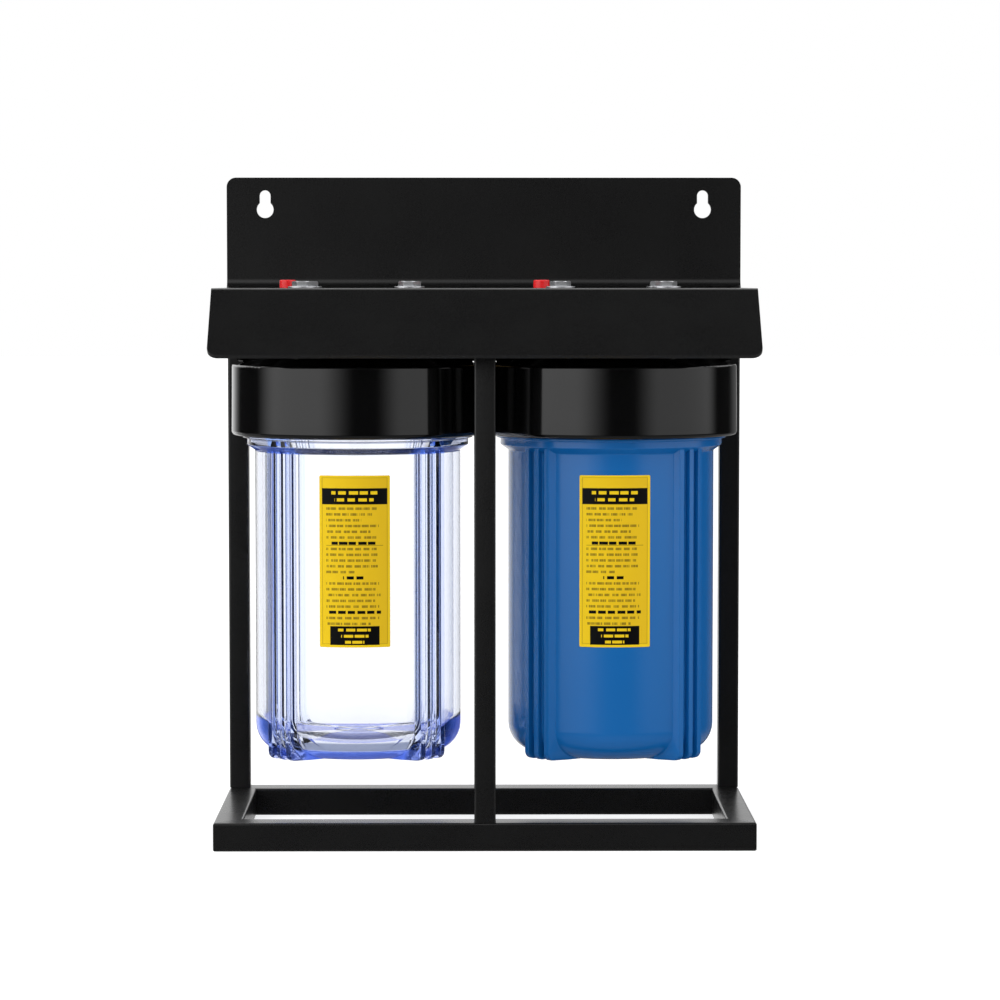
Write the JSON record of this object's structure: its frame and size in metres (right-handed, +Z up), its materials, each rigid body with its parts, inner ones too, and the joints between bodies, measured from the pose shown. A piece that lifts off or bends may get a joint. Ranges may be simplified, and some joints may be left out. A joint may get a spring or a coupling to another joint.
{
  "type": "twin water filter housing",
  "caption": "Free-standing black steel frame with a folded wall bracket that carries a clear and a blue screw-in water filter sump under black threaded heads.",
  "frame": {"origin": "on the floor, under the centre of the whole object's box", "axes": "+X to the right as seen from the front, +Y to the rear (the wall), +Z up"},
  "size_m": [0.382, 0.2014, 0.4745],
  "materials": {
    "frame_coating": "satin black powder coat over mild steel",
    "head_plastic": "glossy black moulded polypropylene",
    "bush_plastic": "plain black plastic",
    "clear_plastic": "polished clear styrene copolymer with a blue tint in its thick places",
    "blue_plastic": "satin blue moulded polypropylene",
    "label_film": "yellow vinyl film with plain black ruling",
    "button_plastic": "glossy red plastic",
    "zinc_plate": "bright zinc plate",
    "stainless_steel": "turned stainless steel",
    "spring_steel": "drawn spring wire",
    "nipple_brass": "turned brass",
    "seal_rubber": "black nitrile rubber with a film of silicone grease",
    "cartridge_media": "white spun polypropylene fibre",
    "cartridge_plastic": "plain white polypropylene",
    "cartridge_rubber": "grey foamed gasket"
  },
  "bodies": {
    "root": {"base_front_rail": "frame_coating", "base_rear_rail": "frame_coating", "base_left_rail": "frame_coating", "base_right_rail": "frame_coating", "rear_left_post": "frame_coating", "rear_right_post": "frame_coating", "centre_post": "frame_coating", "bracket": "frame_coating", "joining_nipple": "nipple_brass", "nipple_gaskets": "seal_rubber", "left_head": "head_plastic", "left_head_screws": "zinc_plate", "left_head_washers": "zinc_plate", "left_relief_bush": "bush_plastic", "left_relief_spring": "spring_steel", "right_head": "head_plastic", "right_head_screws": "zinc_plate", "right_head_washers": "zinc_plate", "right_relief_bush": "bush_plastic", "right_relief_spring": "spring_steel"},
    "left_relief_button": {"left_relief_button": "button_plastic", "left_relief_stem": "stainless_steel", "left_relief_seal": "seal_rubber"},
    "right_relief_button": {"right_relief_button": "button_plastic", "right_relief_stem": "stainless_steel", "right_relief_seal": "seal_rubber"},
    "clear_sump_seal": {"clear_sump_oring": "seal_rubber"},
    "clear_sump": {"clear_sump": "clear_plastic", "clear_sump_label": "label_film"},
    "blue_sump_seal": {"blue_sump_oring": "seal_rubber"},
    "blue_sump": {"blue_sump": "blue_plastic", "blue_sump_label": "label_film", "cartridge_media": "cartridge_media", "cartridge_core": "cartridge_plastic", "cartridge_lower_cap": "cartridge_plastic", "cartridge_upper_cap": "cartridge_plastic", "cartridge_lower_gasket": "cartridge_rubber", "cartridge_upper_gasket": "cartridge_rubber"}
  },
  "joints": [
    {"name": "clear_sump_drop", "type": "slide", "parent": "root", "child": "clear_sump_seal", "axis": [0, 0, -1], "range_m": [0, 0.018]},
    {"name": "clear_sump_turn", "type": "hinge", "parent": "clear_sump_seal", "child": "clear_sump", "pos_m": [-0.091, 0.00873, 0.3], "axis": [0, 0, -1], "range_deg": [0, 1080]},
    {"name": "blue_sump_drop", "type": "slide", "parent": "root", "child": "blue_sump_seal", "axis": [0, 0, -1], "range_m": [0, 0.018]},
    {"name": "blue_sump_turn", "type": "hinge", "parent": "blue_sump_seal", "child": "blue_sump", "pos_m": [0.091, 0.00873, 0.3], "axis": [0, 0, -1], "range_deg": [0, 1080]},
    {"name": "left_relief_press", "type": "slide", "parent": "root", "child": "left_relief_button", "axis": [0, 0, -1], "range_m": [0, 0.003], "stiffness_N_per_m": 500, "springref_m": -0.003, "deforming": ["left_relief_spring"]},
    {"name": "right_relief_press", "type": "slide", "parent": "root", "child": "right_relief_button", "axis": [0, 0, -1], "range_m": [0, 0.003], "stiffness_N_per_m": 500, "springref_m": -0.003, "deforming": ["right_relief_spring"]}
  ],
  "couplings": [
    {"joint": "clear_sump_drop", "follows": "clear_sump_turn", "m_per_rad": 0.00095493},
    {"joint": "blue_sump_drop", "follows": "blue_sump_turn", "m_per_rad": 0.00095493}
  ]
}
